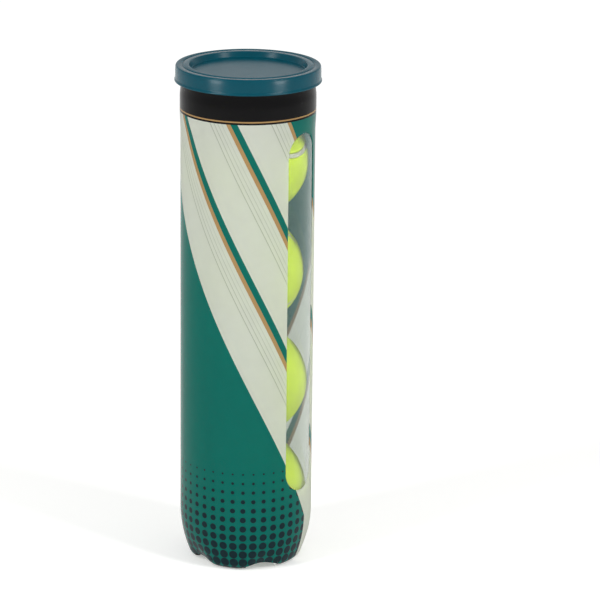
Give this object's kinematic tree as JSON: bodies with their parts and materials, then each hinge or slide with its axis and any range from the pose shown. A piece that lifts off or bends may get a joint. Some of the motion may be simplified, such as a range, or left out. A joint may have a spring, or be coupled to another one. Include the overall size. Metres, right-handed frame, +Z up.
{
  "type": "tennis ball can",
  "caption": "Clear tennis ball can with a printed sleeve, a ring-pull metal end under a push-on overcap, and felt balls that lift out through its mouth.",
  "frame": {"origin": "on the table under the can's axis, level with the bottoms of the feet", "axes": "+Z up along the can's axis to the overcap; -Y is the front as the picture shows it; +X is to its right"},
  "size_m": [0.0834, 0.0834, 0.292],
  "materials": {
    "clear_pet": "clear gloss",
    "printed_film": "gloss print",
    "end_metal": "bright sheet",
    "sealing_compound": "matte",
    "cap_plastic": "satin",
    "core_rubber": "matte",
    "felt": "felt",
    "seam_rubber": "matte"
  },
  "bodies": {
    "can": {"can_body": "clear_pet", "label_sleeve": "printed_film", "end_ring": "end_metal", "seam_gasket": "sealing_compound"},
    "ball_1": {"ball_1_core_lower": "core_rubber", "ball_1_core_upper": "core_rubber", "ball_1_felt_a": "felt", "ball_1_felt_b": "felt", "ball_1_seam": "seam_rubber"},
    "ball_2": {"ball_2_core_lower": "core_rubber", "ball_2_core_upper": "core_rubber", "ball_2_felt_a": "felt", "ball_2_felt_b": "felt", "ball_2_seam": "seam_rubber"},
    "ball_3": {"ball_3_core_lower": "core_rubber", "ball_3_core_upper": "core_rubber", "ball_3_felt_a": "felt", "ball_3_felt_b": "felt", "ball_3_seam": "seam_rubber"},
    "ball_4": {"ball_4_core_lower": "core_rubber", "ball_4_core_upper": "core_rubber", "ball_4_felt_a": "felt", "ball_4_felt_b": "felt", "ball_4_seam": "seam_rubber"},
    "panel": {"tear_panel": "end_metal", "tab_tongue": "end_metal"},
    "tab": {"pull_tab": "end_metal"},
    "cap": {"overcap": "cap_plastic"}
  },
  "joints": [
    {"name": "ball_1_lift", "type": "slide", "parent": "can", "child": "ball_1", "axis": [0, 0, 1], "range_m": [0, 0.29]},
    {"name": "ball_2_lift", "type": "slide", "parent": "ball_1", "child": "ball_2", "axis": [0, 0, 1], "range_m": [0, 0.224]},
    {"name": "ball_3_lift", "type": "slide", "parent": "ball_2", "child": "ball_3", "axis": [0, 0, 1], "range_m": [0, 0.158]},
    {"name": "ball_4_lift", "type": "slide", "parent": "ball_3", "child": "ball_4", "axis": [0, 0, 1], "range_m": [0, 0.092]},
    {"name": "panel_lift", "type": "slide", "parent": "ball_4", "child": "panel", "axis": [0, 0, 1], "range_m": [0, 0.06]},
    {"name": "cap_lift", "type": "slide", "parent": "panel", "child": "cap", "axis": [0, 0, 1], "range_m": [0, 0.06]},
    {"name": "tab_hinge", "type": "hinge", "parent": "panel", "child": "tab", "pos_m": [0, 0.0323, 0.28585], "axis": [-1, 0, 0], "range_deg": [0, 80]}
  ],
  "couplings": [
    {"joint": "tab_hinge", "follows": "cap_lift", "rad_per_m": 23.266}
  ]
}
